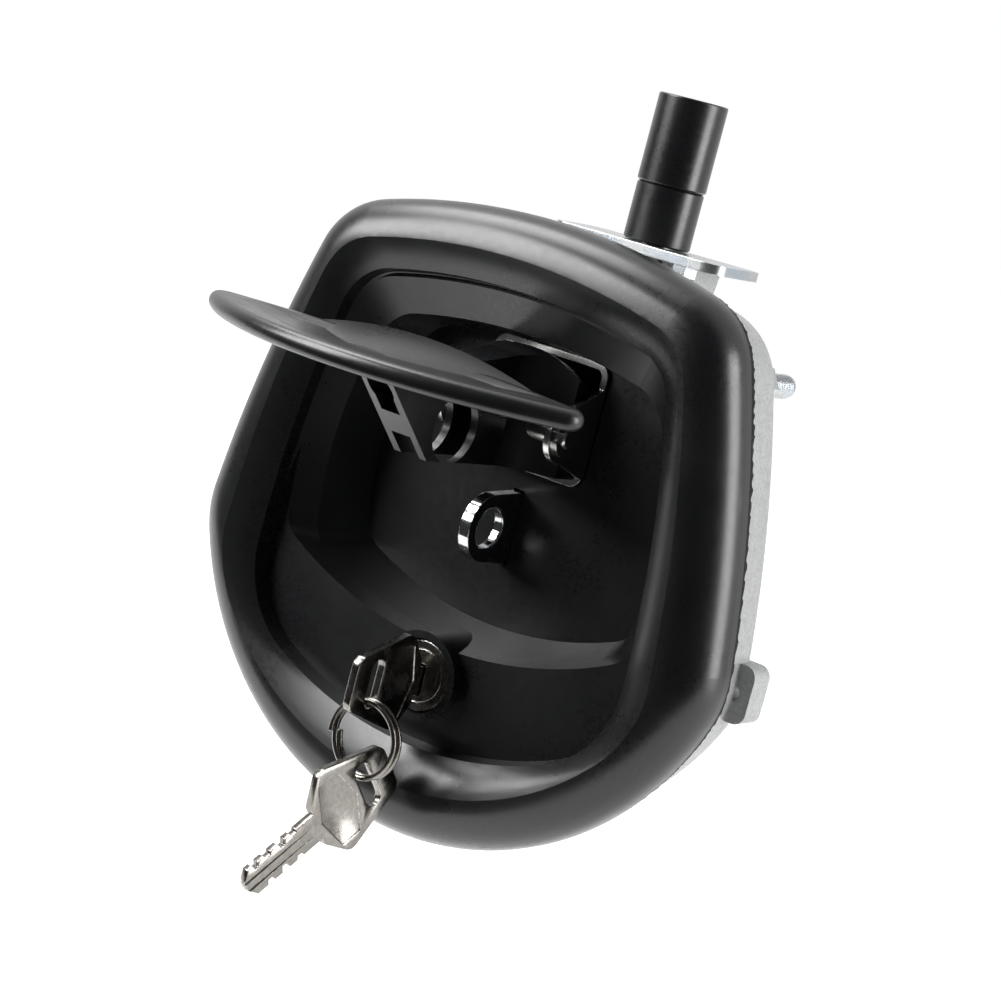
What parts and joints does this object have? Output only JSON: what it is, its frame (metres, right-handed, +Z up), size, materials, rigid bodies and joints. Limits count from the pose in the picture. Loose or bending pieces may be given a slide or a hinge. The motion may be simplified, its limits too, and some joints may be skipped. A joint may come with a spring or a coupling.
{
  "type": "paddle handle lock",
  "caption": "Panel-mounted fold-out paddle lock: rounded tray with key cylinder, padlock eye and hinged T-shaped paddle that drives a lifting rod behind the panel.",
  "frame": {"origin": "on the middle plane, in the rear plane of the rim that lies against the gasket and panel", "axes": "+X to the right seen from the front, +Y to the back, through the panel, +Z up along the rod"},
  "size_m": [0.1536, 0.1349, 0.1977],
  "materials": {
    "black_coat": "satin black powder coat",
    "cast_alloy": "fine blasted die casting",
    "zinc_steel": "bright zinc plate",
    "stainless": "bent stainless sheet",
    "chrome_steel": "polished chrome plate",
    "nickel": "nickel plated brass",
    "seal_rubber": "matt sponge rubber"
  },
  "bodies": {
    "lock_body": {"front_tray": "black_coat", "panel_gasket": "seal_rubber", "rear_housing": "cast_alloy", "mechanism_cover": "zinc_steel", "cover_screws": "zinc_steel", "rod_guide_plate": "zinc_steel", "guide_screws": "zinc_steel", "clamp_studs": "zinc_steel", "clamp_washers": "zinc_steel", "clamp_nuts": "zinc_steel", "pivot_bracket": "stainless", "hinge_pin": "stainless", "pin_clips": "stainless", "padlock_hasp": "chrome_steel", "cylinder_shell": "nickel", "cylinder_nut": "zinc_steel"},
    "paddle": {"paddle_handle": "black_coat", "drive_crank": "zinc_steel"},
    "rod": {"slide_plate": "zinc_steel", "rod_stud": "zinc_steel", "rod_cross_pin": "stainless", "rod_sleeve_lower": "black_coat", "rod_sleeve_upper": "black_coat"},
    "plug": {"cylinder_plug": "nickel", "lock_cam": "zinc_steel", "cam_screw": "zinc_steel", "inserted_key": "nickel"},
    "ring": {"key_ring": "nickel"},
    "spare": {"spare_key": "nickel"}
  },
  "joints": [
    {"name": "paddle_fold", "type": "hinge", "parent": "lock_body", "child": "paddle", "pos_m": [0, 0.002, 0.024], "axis": [1, 0, 0], "range_deg": [0, 50]},
    {"name": "rod_lift", "type": "slide", "parent": "lock_body", "child": "rod", "axis": [0, 0, 1], "range_m": [0, 0.0202]},
    {"name": "key_turn", "type": "hinge", "parent": "lock_body", "child": "plug", "pos_m": [0, 0, -0.0402], "axis": [0, 1, 0], "range_deg": [0, 90]},
    {"name": "ring_swing", "type": "hinge", "parent": "plug", "child": "ring", "pos_m": [0, -0.0254, -0.0456], "axis": [1, 0, 0], "range_deg": [-10, 0]},
    {"name": "spare_key_swing", "type": "hinge", "parent": "ring", "child": "spare", "pos_m": [0.0041, -0.0249, -0.0633], "axis": [1, 0, 0], "range_deg": [-5, 20]}
  ],
  "couplings": [
    {"joint": "rod_lift", "follows": "paddle_fold", "m_per_rad": 0.02314}
  ]
}
